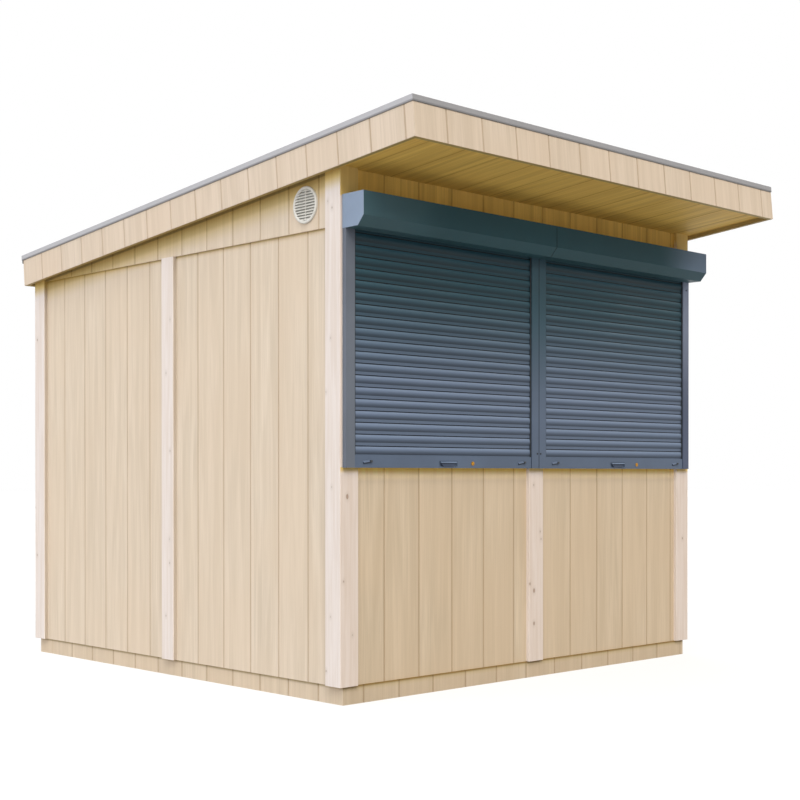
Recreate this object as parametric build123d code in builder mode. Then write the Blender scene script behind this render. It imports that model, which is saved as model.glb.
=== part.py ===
from build123d import *
import os
from math import cos, radians, sin, tan

# A timber market hut under one sloping roof, with two roller shutters over the counter side.
# X runs to the right seen from the front, Y to the back and Z up from the ground.

# Plan and posts: the width and depth go over the faces of the corner posts
WIDTH = 2385
DEPTH = 2510
POST = 98
POST_EDGE = 2.5

# Base: a set-back skirting of grooved board round a timber floor
BASE_HEIGHT = 76
SKIRTING_THICK = 20
SKIRTING_SETBACK_FRONT = 14
SKIRTING_SETBACK_SIDE = 26
FLOOR_THICK = 22
BEARER = 60
BEARERS = 5

# Grooved boards of the walls
PANEL_THICK = 21
PANEL_SETBACK = 19
PANEL_TOP = 1962
COUNTER_HEIGHT = 1000
HATCH_DROP = 22
GABLE_PROUD = 8
GABLE_BACK = 6.4
GROOVE_PITCH = 200
GROOVE_WIDTH = 6
GROOVE_DEPTH = 3
GROOVE_MARGIN = 12

# First groove of each run of boards, from the left or front corner of the posts
FIRST_FRONT = 257
FIRST_SIDE = 231
FIRST_GABLE = 149
FIRST_SKIRTING_FRONT = 137
FIRST_SKIRTING_SIDE = 173
FIRST_FASCIA_FRONT = 134
FIRST_FASCIA_SIDE = 50
FIRST_SOFFIT = 94

# Roof: it rises to the front from the back end of the gables
ROOF_ANGLE = 5.34
SOFFIT_THICK = 18
ROOF_FRONT = 490
ROOF_BACK = 33
ROOF_SIDE = 42.5
FASCIA_THICK = 20
FASCIA_DROP = 19
FASCIA_HEIGHT = 138
RAFTER = 60
RAFTER_BAYS = 4
DECK_THICK = 18
COVER_THICK = 6
TRIM_SHEET = 2
TRIM_PROUD = 3
TRIM_FLANGE = 45
DRIP_OUT = 10
DRIP_HEIGHT = 40

# Roller shutters: two alike, side by side across the front
SHUTTER_INSET_LEFT = 12
SHUTTER_INSET_RIGHT = 24
SHUTTER_JOINT = 1
SHUTTER_DROP = 27
GUIDE_WIDTH = 48
GUIDE_DEPTH = 22
GUIDE_WALL = 2.5
BOX_RISE = 7
BOX_HEIGHT = 138
BOX_DEPTH = 132
BOX_SLANT_HEIGHT = 40
BOX_SLANT_DEPTH = 36
BOX_SHEET = 2
BOX_SLOT = 18
SLAT_PITCH = 48.6
SLAT_THICK = 8
SLAT_BULGE = 3.2
SLAT_LIP = 12
SLAT_GAP = 4.5
SLAT_SEAT = 9
HOOK_THICK = 1.2
HOOK_WIDTH = 2.4
HOOK_GAP = 0.4
HOOK_FLOOR = 1.6
CURTAIN_ENTRY = 20
CURTAIN_IN_BOX = 30
SLIDING_GAP = 0.3
BAR_HEIGHT = 52
BAR_THICK = 14
BAR_GAP = 2
GRIP_WIDTH = 110
GRIP_HEIGHT = 24
GRIP_DEPTH = 6
GRIP_RISE = 6
GRIP_RADIUS = 4

# Round louvred vent near the front of each gable
VENT_FROM_FRONT = 233
VENT_ABOVE_PANEL = 32
VENT_DIAMETER = 156
VENT_RIM = 12
VENT_THICK = 9
VENT_BLADES = 11
VENT_BLADE_THICK = 2.4
VENT_BLADE_ANGLE = 40
VENT_RIB = 5
VENT_RIB_DEPTH = 4

# Places worked out from the sizes above, with the middle of the base as the origin
left = -WIDTH / 2
right = WIDTH / 2
front = -DEPTH / 2
back = DEPTH / 2
post_center = POST / 2
hatch_top = PANEL_TOP - HATCH_DROP
box_bottom = hatch_top + BOX_RISE
shutter_bottom = COUNTER_HEIGHT - SHUTTER_DROP
soffit_height = PANEL_TOP + GABLE_BACK + DEPTH * tan(radians(ROOF_ANGLE))
clear_height = soffit_height + ROOF_FRONT
deck_start = FASCIA_HEIGHT - FASCIA_DROP
cover_start = deck_start + DECK_THICK
trim_top = cover_start + COVER_THICK + TRIM_SHEET

# Plane of the soffit's underside: its Y runs down the slope to the back
slope = Vector(0, sin(radians(ROOF_ANGLE)), cos(radians(ROOF_ANGLE)))
soffit_plane = Plane(origin=(0, front, soffit_height), x_dir=(1, 0, 0), z_dir=slope)
roof_half = WIDTH / 2 + ROOF_SIDE
roof_front = -ROOF_FRONT
roof_back = DEPTH / cos(radians(ROOF_ANGLE)) + ROOF_BACK
roof_length = roof_back - roof_front

os.makedirs("parts", exist_ok=True)


def finish(piece, name):
    """Label a finished piece and write it as one STEP file."""
    piece.part.label = name
    export_step(piece.part, f"parts/{name}.step")


def grooves_between(first, start, end):
    """Groove lines at the board pitch that fall between two edges, measured from the start."""
    count = int((end - first) / GROOVE_PITCH) + 1
    lines = [first + GROOVE_PITCH * step for step in range(count)]
    return [line - start for line in lines if start + GROOVE_MARGIN < line < end - GROOVE_MARGIN]


def grooved_board(plane, length, thick, height, grooves, mitre=0):
    """A board with upright grooves in its outer face, standing on the plane.

    The plane's X runs along the outer face and its Y points into the board.
    """
    with BuildPart() as board:
        with BuildSketch(plane):
            with BuildLine():
                Polyline(
                    (0, 0), (length, 0), (length - mitre, thick), (mitre, thick), close=True
                )
            make_face()
            with Locations([(line, 0) for line in grooves]):
                Polygon(
                    (-GROOVE_WIDTH / 2, 0), (GROOVE_WIDTH / 2, 0), (0, GROOVE_DEPTH),
                    align=None, mode=Mode.SUBTRACT,
                )
        extrude(amount=height)
    return board


def wall_plane(corner_x, corner_y, height, along):
    """A level plane whose X runs along a wall and whose Y points into the hut."""
    return Plane(origin=(corner_x, corner_y, height), x_dir=along, z_dir=(0, 0, 1))


def side_plane(start, depth, height):
    """A plane seen from the hut's right end: X to the back, Y up, drawn shapes grow to +X."""
    return Plane(origin=(start, depth, height), x_dir=(0, 1, 0), z_dir=(1, 0, 0))


def fascia_plane(start_x, start_y, along):
    """A plane under the fascias whose X runs along one edge of the roof and whose Y points in."""
    low = soffit_plane.offset(-FASCIA_DROP)
    heading = low.x_dir * along[0] + low.y_dir * along[1]
    return Plane(origin=low.from_local_coords((start_x, start_y, 0)), x_dir=heading, z_dir=low.z_dir)


def post(center_x, center_y, top):
    """A planed post on the base with eased edges."""
    with BuildPart() as timber:
        with BuildSketch(Plane.XY.offset(BASE_HEIGHT)):
            with Locations((center_x, center_y)):
                Rectangle(POST, POST)
        extrude(amount=top - BASE_HEIGHT)
        chamfer(timber.edges().filter_by(Axis.Z), POST_EDGE)
    return timber


def cut_under_roof(piece):
    """Cut a piece to the slope where it meets the soffit."""
    with BuildPart() as trimmed:
        add(piece.part)
        split(bisect_by=soffit_plane, keep=Keep.BOTTOM)
    return trimmed


# Floor: a deck on bearers that run from side to side
floor_width = WIDTH - 2 * (SKIRTING_SETBACK_SIDE + SKIRTING_THICK)
floor_length = DEPTH - 2 * (SKIRTING_SETBACK_FRONT + SKIRTING_THICK)
bearer_height = BASE_HEIGHT - FLOOR_THICK
with BuildPart() as bearers:
    with BuildSketch():
        with GridLocations(0, (floor_length - BEARER) / (BEARERS - 1), 1, BEARERS):
            Rectangle(floor_width, BEARER)
    extrude(amount=bearer_height)
finish(bearers, "floor_bearers")
with BuildPart() as floor_deck:
    with BuildSketch(Plane.XY.offset(bearer_height)):
        Rectangle(floor_width, floor_length)
    extrude(amount=FLOOR_THICK)
finish(floor_deck, "floor_deck")

# Skirting round the base, mitred at the corners
skirt_left = left + SKIRTING_SETBACK_SIDE
skirt_right = right - SKIRTING_SETBACK_SIDE
skirt_front = front + SKIRTING_SETBACK_FRONT
skirt_back = back - SKIRTING_SETBACK_FRONT
skirt_width = skirt_right - skirt_left
skirt_length = skirt_back - skirt_front
front_lines = grooves_between(FIRST_SKIRTING_FRONT, SKIRTING_SETBACK_SIDE, WIDTH - SKIRTING_SETBACK_SIDE)
side_lines = grooves_between(FIRST_SKIRTING_SIDE, SKIRTING_SETBACK_FRONT, DEPTH - SKIRTING_SETBACK_FRONT)
for name, plane, length, lines in (
    ("skirting_front", wall_plane(skirt_left, skirt_front, 0, (1, 0, 0)), skirt_width, front_lines),
    ("skirting_back", wall_plane(skirt_right, skirt_back, 0, (-1, 0, 0)), skirt_width, front_lines),
    ("skirting_right", wall_plane(skirt_right, skirt_front, 0, (0, 1, 0)), skirt_length, side_lines),
    (
        "skirting_left",
        wall_plane(skirt_left, skirt_back, 0, (0, -1, 0)),
        skirt_length,
        [skirt_length - line for line in side_lines],
    ),
):
    skirting = grooved_board(plane, length, SKIRTING_THICK, BASE_HEIGHT, lines, SKIRTING_THICK)
    finish(skirting, name)

# Corner posts, cut to the slope of the roof
for name, center_x, center_y in (
    ("corner_post_front_left", left + post_center, front + post_center),
    ("corner_post_front_right", right - post_center, front + post_center),
    ("corner_post_back_left", left + post_center, back - post_center),
    ("corner_post_back_right", right - post_center, back - post_center),
):
    finish(cut_under_roof(post(center_x, center_y, clear_height)), name)

# Middle posts: the side ones end under the gables and the front one at the head of the hatches
finish(post(left + post_center, 0, PANEL_TOP), "middle_post_left")
finish(post(right - post_center, 0, PANEL_TOP), "middle_post_right")
finish(post(0, front + post_center, hatch_top), "middle_post_front")
finish(cut_under_roof(post(0, back - post_center, clear_height)), "middle_post_back")

# Wall panels between the posts, set back from their faces
panel_front = front + PANEL_SETBACK
panel_back = back - PANEL_SETBACK
panel_height = PANEL_TOP - BASE_HEIGHT
side_spans = (
    ("front", POST, DEPTH / 2 - post_center),
    ("back", DEPTH / 2 + post_center, DEPTH - POST),
)
for place, start, end in side_spans:
    span = end - start
    lines = grooves_between(FIRST_SIDE, start, end)
    right_plane = wall_plane(right - PANEL_SETBACK, front + start, BASE_HEIGHT, (0, 1, 0))
    left_plane = wall_plane(left + PANEL_SETBACK, front + end, BASE_HEIGHT, (0, -1, 0))
    right_panel = grooved_board(right_plane, span, PANEL_THICK, panel_height, lines)
    finish(right_panel, f"side_panel_right_{place}")
    mirrored = [span - line for line in lines]
    left_panel = grooved_board(left_plane, span, PANEL_THICK, panel_height, mirrored)
    finish(left_panel, f"side_panel_left_{place}")

front_spans = (
    ("left", POST, WIDTH / 2 - post_center),
    ("right", WIDTH / 2 + post_center, WIDTH - POST),
)
for place, start, end in front_spans:
    span = end - start
    lines = grooves_between(FIRST_FRONT, start, end)
    front_plane = wall_plane(left + start, panel_front, BASE_HEIGHT, (1, 0, 0))
    lower = grooved_board(front_plane, span, PANEL_THICK, COUNTER_HEIGHT - BASE_HEIGHT, lines)
    finish(lower, f"front_panel_{place}")
    back_plane = wall_plane(left + end, panel_back, BASE_HEIGHT, (-1, 0, 0))
    mirrored = [span - line for line in lines]
    rear = grooved_board(back_plane, span, PANEL_THICK, clear_height, mirrored)
    finish(cut_under_roof(rear), f"back_panel_{place}")

# Head panel over the hatches
head_lines = grooves_between(FIRST_FRONT, POST, WIDTH - POST)
head_plane = wall_plane(left + POST, panel_front, hatch_top, (1, 0, 0))
head = grooved_board(head_plane, WIDTH - 2 * POST, PANEL_THICK, clear_height - hatch_top, head_lines)
finish(cut_under_roof(head), "head_panel_front")

# Gable boards: tapered, a little proud of the side panels, with a round opening for the vent
gable_face = PANEL_SETBACK - GABLE_PROUD
gable_thick = PANEL_THICK + GABLE_PROUD
gable_span = DEPTH - 2 * POST
vent_y = front + VENT_FROM_FRONT
vent_z = PANEL_TOP + VENT_ABOVE_PANEL + VENT_DIAMETER / 2
vent_inner = VENT_DIAMETER / 2 - VENT_RIM
gable_plane = wall_plane(right - gable_face, front + POST, PANEL_TOP, (0, 1, 0))
gable_lines = grooves_between(FIRST_GABLE, POST, DEPTH - POST)
gable_blank = grooved_board(gable_plane, gable_span, gable_thick, clear_height - PANEL_TOP, gable_lines)
with BuildPart() as gable_right:
    add(gable_blank.part)
    split(bisect_by=soffit_plane, keep=Keep.BOTTOM)
    with BuildSketch(Plane.YZ.offset(right)):
        with Locations((vent_y, vent_z)):
            Circle(vent_inner)
    extrude(amount=-gable_thick - gable_face, mode=Mode.SUBTRACT)
finish(gable_right, "gable_right")
with BuildPart() as gable_left:
    mirror(gable_right.part, about=Plane.YZ)
finish(gable_left, "gable_left")

# Louvred vent: sloping blades across a round rim, with a rib down the middle
vent_face = right - gable_face
blade_pitch = 2 * vent_inner / VENT_BLADES
blade_length = VENT_THICK / cos(radians(VENT_BLADE_ANGLE)) + VENT_THICK
blade_center = (vent_face + VENT_THICK / 2, vent_y, vent_z)
blade_plane = Plane(origin=blade_center, x_dir=(1, 0, 0), z_dir=(0, -1, 0))
face_plane = Plane(origin=(vent_face, vent_y, vent_z), x_dir=(0, 1, 0), z_dir=(1, 0, 0))
with BuildPart() as vent_blades:
    with BuildSketch(blade_plane):
        with GridLocations(0, blade_pitch, 1, VENT_BLADES):
            Rectangle(blade_length, VENT_BLADE_THICK, rotation=-VENT_BLADE_ANGLE)
    extrude(amount=vent_inner + VENT_RIM / 2, both=True)
    with BuildSketch(face_plane):
        Circle(vent_inner + VENT_RIM / 2)
    extrude(amount=VENT_THICK - VENT_BLADE_THICK / 2, mode=Mode.INTERSECT)
with BuildPart() as vent_right:
    with BuildSketch(face_plane):
        Circle(VENT_DIAMETER / 2)
        Circle(vent_inner, mode=Mode.SUBTRACT)
    extrude(amount=VENT_THICK)
    chamfer(vent_right.edges().filter_by(GeomType.CIRCLE).group_by(Axis.X)[-1], VENT_BLADE_THICK)
    with BuildSketch(face_plane):
        Rectangle(VENT_RIB, 2 * vent_inner + VENT_RIM)
    extrude(amount=VENT_RIB_DEPTH)
    add(vent_blades.part)
finish(vent_right, "vent_right")
with BuildPart() as vent_left:
    mirror(vent_right.part, about=Plane.YZ)
finish(vent_left, "vent_left")

# Roller shutters
curtain_y = front - GUIDE_DEPTH / 2
bar_top = shutter_bottom + BAR_HEIGHT
curtain_bottom = bar_top - SLAT_SEAT
slat_height = SLAT_PITCH - SLAT_GAP
slat_count = int((box_bottom + CURTAIN_IN_BOX - curtain_bottom) / SLAT_PITCH) + 1
slat_half = SLAT_THICK / 2
lip_face = SLAT_BULGE - slat_half
hook_back = (lip_face + slat_half + HOOK_WIDTH) / 2
bow_middle = (SLAT_LIP + slat_height) / 2
shutter_width = (WIDTH - SHUTTER_INSET_LEFT - SHUTTER_INSET_RIGHT - SHUTTER_JOINT) / 2
clear = shutter_width - 2 * GUIDE_WIDTH

# Section of one slat: a bowed face over a flat lip, which is hollowed for the hook of the slat below
with BuildSketch() as slat:
    with BuildLine():
        outer = ThreePointArc(
            (lip_face, slat_height), (-slat_half, bow_middle), (lip_face, SLAT_LIP)
        )
        inner = ThreePointArc(
            (slat_half, SLAT_LIP), (slat_half - SLAT_BULGE, bow_middle), (slat_half, slat_height)
        )
        Polyline(outer @ 1, (lip_face, 0), (slat_half, 0), inner @ 0)
        Line(inner @ 1, outer @ 0)
    make_face()
    with Locations((hook_back + HOOK_GAP, HOOK_FLOOR)):
        Rectangle(
            HOOK_WIDTH + 2 * HOOK_GAP, HOOK_THICK + 2 * HOOK_GAP,
            align=(Align.MAX, Align.MIN), mode=Mode.SUBTRACT,
        )
        Rectangle(HOOK_THICK + 2 * HOOK_GAP, HOOK_FLOOR, align=Align.MAX, mode=Mode.SUBTRACT)
    hook_top = SLAT_PITCH + HOOK_FLOOR + HOOK_GAP + HOOK_THICK
    with Locations((hook_back, hook_top)):
        Rectangle(HOOK_WIDTH, HOOK_THICK, align=Align.MAX)
        Rectangle(HOOK_THICK, hook_top - slat_height, align=Align.MAX)

# Outline of a box's end with its slanted lower front edge, and of the hollow inside its sheet
with BuildSketch() as box_outline:
    with BuildLine():
        Polyline(
            (0, 0), (0, BOX_HEIGHT), (-BOX_DEPTH, BOX_HEIGHT),
            (-BOX_DEPTH, BOX_SLANT_HEIGHT), (BOX_SLANT_DEPTH - BOX_DEPTH, 0), close=True,
        )
    make_face()
with BuildSketch() as box_hollow:
    add(box_outline.sketch)
    offset(amount=-BOX_SHEET, kind=Kind.INTERSECTION, mode=Mode.REPLACE)

for number, side in enumerate(("left", "right")):
    start = left + SHUTTER_INSET_LEFT + number * (shutter_width + SHUTTER_JOINT)
    middle = start + shutter_width / 2

    # Guide rails: channels that hold the ends of the slats
    with BuildPart() as guide_left:
        with BuildSketch(Plane.XY.offset(shutter_bottom)):
            with Locations((start, front)):
                Rectangle(GUIDE_WIDTH, GUIDE_DEPTH, align=(Align.MIN, Align.MAX))
            with Locations((start + GUIDE_WIDTH, curtain_y)):
                Rectangle(
                    GUIDE_WIDTH - GUIDE_WALL, SLAT_THICK + 2 * SLIDING_GAP,
                    align=(Align.MAX, Align.CENTER), mode=Mode.SUBTRACT,
                )
        extrude(amount=box_bottom - shutter_bottom)
    finish(guide_left, f"guide_rail_{side}_1")
    with BuildPart() as guide_right:
        mirror(guide_left.part, about=Plane.YZ.offset(middle))
    finish(guide_right, f"guide_rail_{side}_2")

    # Curtain: hooked slats, the lowest seated in the bottom bar and the highest inside the box
    slat_places = [(0, step * SLAT_PITCH) for step in range(slat_count)]
    curtain_start = start + GUIDE_WIDTH - CURTAIN_ENTRY
    with BuildPart() as curtain:
        with BuildSketch(side_plane(curtain_start, curtain_y, curtain_bottom)):
            with Locations(slat_places):
                add(slat.sketch)
        extrude(amount=clear + 2 * CURTAIN_ENTRY)
    finish(curtain, f"shutter_curtain_{side}")

    # Bottom bar with a seat for the lowest slat and a finger grip let into its face
    with BuildPart() as bar:
        with BuildSketch(side_plane(start + GUIDE_WIDTH + BAR_GAP, curtain_y, bar_top)):
            Rectangle(BAR_THICK, BAR_HEIGHT, align=(Align.CENTER, Align.MAX))
            Rectangle(
                SLAT_THICK + 2 * SLIDING_GAP, SLAT_SEAT,
                align=(Align.CENTER, Align.MAX), mode=Mode.SUBTRACT,
            )
        extrude(amount=clear - 2 * BAR_GAP)
        with BuildSketch(Plane.XZ.offset(BAR_THICK / 2 - curtain_y)):
            with Locations((middle, shutter_bottom + GRIP_RISE + GRIP_HEIGHT / 2)):
                RectangleRounded(GRIP_WIDTH, GRIP_HEIGHT, GRIP_RADIUS)
        extrude(amount=-GRIP_DEPTH, mode=Mode.SUBTRACT)
    finish(bar, f"shutter_bottom_bar_{side}")

    # Box: folded sheet with a slanted lower front edge, closed ends and a slot for the curtain
    with BuildPart() as box:
        with BuildSketch(side_plane(start, front, box_bottom)):
            add(box_outline.sketch)
        extrude(amount=shutter_width)
        with BuildSketch(side_plane(start + BOX_SHEET, front, box_bottom)):
            add(box_hollow.sketch)
        extrude(amount=shutter_width - 2 * BOX_SHEET, mode=Mode.SUBTRACT)
        with BuildSketch(Plane.XY.offset(box_bottom)):
            with Locations((middle, curtain_y)):
                Rectangle(clear + 2 * CURTAIN_ENTRY + 2 * BAR_GAP, BOX_SLOT)
        extrude(amount=BOX_SHEET, mode=Mode.SUBTRACT)
    finish(box, f"shutter_box_{side}")

# Roof soffit: boards with grooves from front to back, inside the fascias
roof_width = 2 * roof_half
inner_width = roof_width - 2 * FASCIA_THICK
inner_length = roof_length - 2 * FASCIA_THICK
inner_front = roof_front + FASCIA_THICK
soffit_edge = FASCIA_THICK - ROOF_SIDE
soffit_lines = grooves_between(FIRST_SOFFIT - GROOVE_PITCH, soffit_edge, WIDTH - soffit_edge)
groove_start = soffit_plane.from_local_coords((0, inner_front, 0))
groove_plane = Plane(origin=groove_start, x_dir=(1, 0, 0), z_dir=-soffit_plane.y_dir)
with BuildPart() as soffit:
    with BuildSketch(soffit_plane):
        with Locations((0, inner_front)):
            Rectangle(inner_width, inner_length, align=(Align.CENTER, Align.MIN))
    extrude(amount=SOFFIT_THICK)
    with BuildSketch(groove_plane):
        with Locations([(line - inner_width / 2, 0) for line in soffit_lines]):
            Polygon(
                (-GROOVE_WIDTH / 2, 0), (GROOVE_WIDTH / 2, 0), (0, GROOVE_DEPTH), align=None
            )
    extrude(amount=-inner_length, mode=Mode.SUBTRACT)
finish(soffit, "roof_soffit")

# Roof deck: boards on rafters, lying over the tops of the fascias
rafter_height = deck_start - SOFFIT_THICK
bay = (inner_width - RAFTER) / RAFTER_BAYS
with BuildPart() as deck:
    with BuildSketch(soffit_plane.offset(SOFFIT_THICK)):
        with Locations((0, inner_front)):
            Rectangle(inner_width, inner_length, align=(Align.CENTER, Align.MIN))
        with Locations((0, inner_front + inner_length / 2)):
            with GridLocations(bay, 0, RAFTER_BAYS, 1):
                Rectangle(bay - RAFTER, inner_length - 2 * RAFTER, mode=Mode.SUBTRACT)
    extrude(amount=rafter_height)
    with BuildSketch(soffit_plane.offset(deck_start)):
        with Locations((0, roof_front)):
            Rectangle(roof_width, roof_length, align=(Align.CENTER, Align.MIN))
    extrude(amount=DECK_THICK)
finish(deck, "roof_deck")

# Fascias: grooved boards square to the slope, mitred at the corners
fascia_front_lines = grooves_between(FIRST_FASCIA_FRONT, -ROOF_SIDE, WIDTH + ROOF_SIDE)
fascia_side_lines = grooves_between(FIRST_FASCIA_SIDE, 0, roof_length)
for name, plane, length, lines in (
    ("fascia_front", fascia_plane(-roof_half, roof_front, (1, 0)), roof_width, fascia_front_lines),
    ("fascia_back", fascia_plane(roof_half, roof_back, (-1, 0)), roof_width, fascia_front_lines),
    ("fascia_right", fascia_plane(roof_half, roof_front, (0, 1)), roof_length, fascia_side_lines),
    (
        "fascia_left",
        fascia_plane(-roof_half, roof_back, (0, -1)),
        roof_length,
        [roof_length - line for line in fascia_side_lines],
    ),
):
    fascia = grooved_board(plane, length, FASCIA_THICK, FASCIA_HEIGHT, lines, FASCIA_THICK)
    finish(fascia, name)

# Roof covering on the deck
with BuildPart() as covering:
    with BuildSketch(soffit_plane.offset(cover_start)):
        with Locations((0, roof_front)):
            Rectangle(roof_width, roof_length, align=(Align.CENTER, Align.MIN))
    extrude(amount=COVER_THICK)
finish(covering, "roof_covering")

# Edge trim: folded sheet round the front and sides, with a drip edge hanging at the back
trim_back = roof_back + DRIP_OUT + TRIM_SHEET
trim_length = trim_back - roof_front + TRIM_PROUD
trim_width = roof_width + 2 * TRIM_PROUD
sheet_plane = soffit_plane.offset(trim_top - TRIM_SHEET)
with BuildPart() as trim:
    with BuildSketch(soffit_plane.offset(deck_start)):
        with Locations((0, roof_front - TRIM_PROUD)):
            Rectangle(trim_width, trim_length, align=(Align.CENTER, Align.MIN))
        with Locations((0, roof_front)):
            Rectangle(roof_width, trim_length, align=(Align.CENTER, Align.MIN), mode=Mode.SUBTRACT)
    extrude(amount=trim_top - deck_start)
    with BuildSketch(sheet_plane):
        with Locations((0, roof_front - TRIM_PROUD)):
            Rectangle(trim_width, trim_length, align=(Align.CENTER, Align.MIN))
        with Locations((0, roof_front - TRIM_PROUD + TRIM_FLANGE)):
            Rectangle(
                trim_width - 2 * TRIM_FLANGE, trim_length - 2 * TRIM_FLANGE - DRIP_OUT,
                align=(Align.CENTER, Align.MIN), mode=Mode.SUBTRACT,
            )
    extrude(amount=TRIM_SHEET)
    with BuildSketch(sheet_plane):
        with Locations((0, trim_back)):
            Rectangle(roof_width, TRIM_SHEET, align=(Align.CENTER, Align.MAX))
    extrude(amount=-DRIP_HEIGHT)
finish(trim, "roof_edge_trim")
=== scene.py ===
import math

import bmesh
import bpy
from bpy.props import FloatProperty, FloatVectorProperty, PointerProperty
from bpy.types import Operator, Panel, PropertyGroup
from mathutils import Matrix, Vector


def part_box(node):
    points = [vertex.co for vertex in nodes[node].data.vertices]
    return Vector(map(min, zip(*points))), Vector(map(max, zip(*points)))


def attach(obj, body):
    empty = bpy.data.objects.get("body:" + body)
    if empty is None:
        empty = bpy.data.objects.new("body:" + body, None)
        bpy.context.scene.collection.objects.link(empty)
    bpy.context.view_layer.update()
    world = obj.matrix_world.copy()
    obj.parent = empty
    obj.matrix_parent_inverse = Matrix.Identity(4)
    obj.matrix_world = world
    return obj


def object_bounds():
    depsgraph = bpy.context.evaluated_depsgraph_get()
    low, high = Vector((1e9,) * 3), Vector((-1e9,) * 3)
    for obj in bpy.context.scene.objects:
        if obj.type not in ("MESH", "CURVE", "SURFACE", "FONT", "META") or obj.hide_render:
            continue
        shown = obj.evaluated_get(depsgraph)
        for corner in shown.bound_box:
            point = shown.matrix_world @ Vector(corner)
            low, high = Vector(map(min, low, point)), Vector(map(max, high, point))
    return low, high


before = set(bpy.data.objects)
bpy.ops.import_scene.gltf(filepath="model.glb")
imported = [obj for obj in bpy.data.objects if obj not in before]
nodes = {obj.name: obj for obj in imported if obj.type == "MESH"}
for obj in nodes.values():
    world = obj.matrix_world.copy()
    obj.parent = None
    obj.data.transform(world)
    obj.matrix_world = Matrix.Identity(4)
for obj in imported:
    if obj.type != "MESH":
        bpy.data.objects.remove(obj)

bl_info = {
    "name": "Timber Market Hut",
    "version": (1, 0, 0),
    "blender": (4, 5, 0),
    "location": "View3D > Sidebar > Market Hut",
    "description": "Dresses a timber market hut with boards, shutters and fittings",
    "category": "Object",
}

cad_low, cad_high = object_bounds()

# The posts give the plan of the hut, and the slope of its roof from their tops
front_post_low, front_post_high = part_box("corner_post_front_left")
back_post_low, back_post_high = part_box("corner_post_back_left")
left_edge, front_edge = front_post_low.x, front_post_low.y
roof_angle = math.atan2(front_post_high.z - back_post_high.z, back_post_low.y - front_edge)
slope_down = Vector((0, math.cos(roof_angle), -math.sin(roof_angle)))
slope_up = Vector((0, math.sin(roof_angle), math.cos(roof_angle)))
soffit_level = slope_up.dot((0, front_edge, front_post_high.z))
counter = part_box("shutter_bottom_bar_left")[0].z
skirting_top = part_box("skirting_left")[1].z
panel_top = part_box("side_panel_left_front")[1].z
box_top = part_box("shutter_box_left")[1].z
meeting = (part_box("shutter_box_left")[1].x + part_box("shutter_box_right")[0].x) / 2
fascia_top = max(slope_up.dot(vert.co) for vert in nodes["fascia_left"].data.vertices)
fascia_foot = min(slope_up.dot(vert.co) for vert in nodes["fascia_left"].data.vertices)
roof_edge = min(slope_down.dot(vert.co) for vert in nodes["fascia_left"].data.vertices)

SIDES = ("left", "right")
ACROSS, BACK, UP, FRONT = (1, 0, 0), (0, 1, 0), (0, 0, 1), (0, -1, 0)

# How much of its length a knot keeps in its pattern, which draws it out along the grain
KNOT_SQUASH = 0.6
# Knots of the posts: place across the face, height and radius. The back and the right repeat them
FRONT_KNOTS = (
    (-1.155, 0.855, 0.007), (-1.174, 0.509, 0.003), (-1.127, 0.287, 0.002), (-0.018, 0.896, 0.003),
    (0.027, 0.678, 0.003), (0.033, 0.643, 0.003), (-0.016, 0.404, 0.007), (-0.044, 0.437, 0.005),
    (-0.016, 0.251, 0.006), (1.145, 0.61, 0.004),
)
SIDE_KNOTS = (
    (-1.201, 0.894, 0.002), (-1.193, 0.362, 0.002), (-1.165, 0.137, 0.003), (-1.204, 2.036, 0.003),
    (-1.194, 1.504, 0.002), (-1.165, 1.284, 0.002), (-1.177, 2.066, 0.002), (-0.025, 1.67, 0.002),
    (0.009, 1.421, 0.0025), (-0.024, 1.055, 0.003), (-0.02, 0.642, 0.002), (-0.02, 0.53, 0.003),
    (0.011, 0.281, 0.003), (1.228, 1.658, 0.004), (1.247, 1.914, 0.003), (1.252, 0.768, 0.003),
    (1.232, 0.516, 0.0035),
)

# Tones are factors on red, green and blue, and the grain's depth is taken off each of them. Shade
# under an edge has its reach in metres and its tone, and under the eaves the share of the reach
# where it is full
SKIRTING_SIDE_SHADE = ((0.016, (0.63, 0.6, 0.44)),)
SKIRTING_FRONT_SHADE = ((0.03, (0.9, 0.88, 0.72)), (0.014, (0.47, 0.375, 0.18)))
UNDER_GABLE_SHADE = ((0.028, (0.92, 0.85, 0.68)), (0.012, (0.76, 0.73, 0.54)))
EAVES_SHADE = ((0.075, 0.7, (0.87, 0.86, 0.82)), (0.019, 0.75, (0.55, 0.57, 0.62)))
# Painted light: paler, yellower wood just under the shutters' bars, lifting the bars' shadow
UNDER_BAR_LIGHT = (1.66, 1.63, 1.36)
SKIRTING_SIDE_TONE = (0.955, 0.93, 0.885)
GRAIN_DEPTH = (0.09, 0.11, 0.15)
WARM_TONE = (1.01, 0.96, 0.9)
GROOVE_TONE = (0.44, 0.33, 0.22)
POST_GRAIN_TONE = (0.95, 0.92, 0.88)
# Painted shade: the posts' front faces a little darker, the faces in the recess darker still
POST_FRONT_SHADE = (0.945, 0.91, 0.885)
POST_RECESS_SHADE = (0.66, 0.64, 0.58)
KNOT_TONE = (0.45, 0.33, 0.25)
# Painted light: the rail in the open takes a paler copy of the shutter paint
LIT_RAIL_TONE = (1.36, 1.17, 0.98)
# Painted shade and light: the far right rail darker at its foot and paler towards the eaves
FAR_RAIL_SHADE = (0.56, 0.61, 0.79)
FAR_RAIL_TOP_LIGHT = (2.75, 2.56, 2.2)
# Painted shade on the boxes' front faces, painted light on their slanted faces
BOX_FACE_SHADE, BOX_SLANT_LIGHT = (0.8, 0.96, 0.9), (1.25, 1.25, 1.1)
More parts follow.
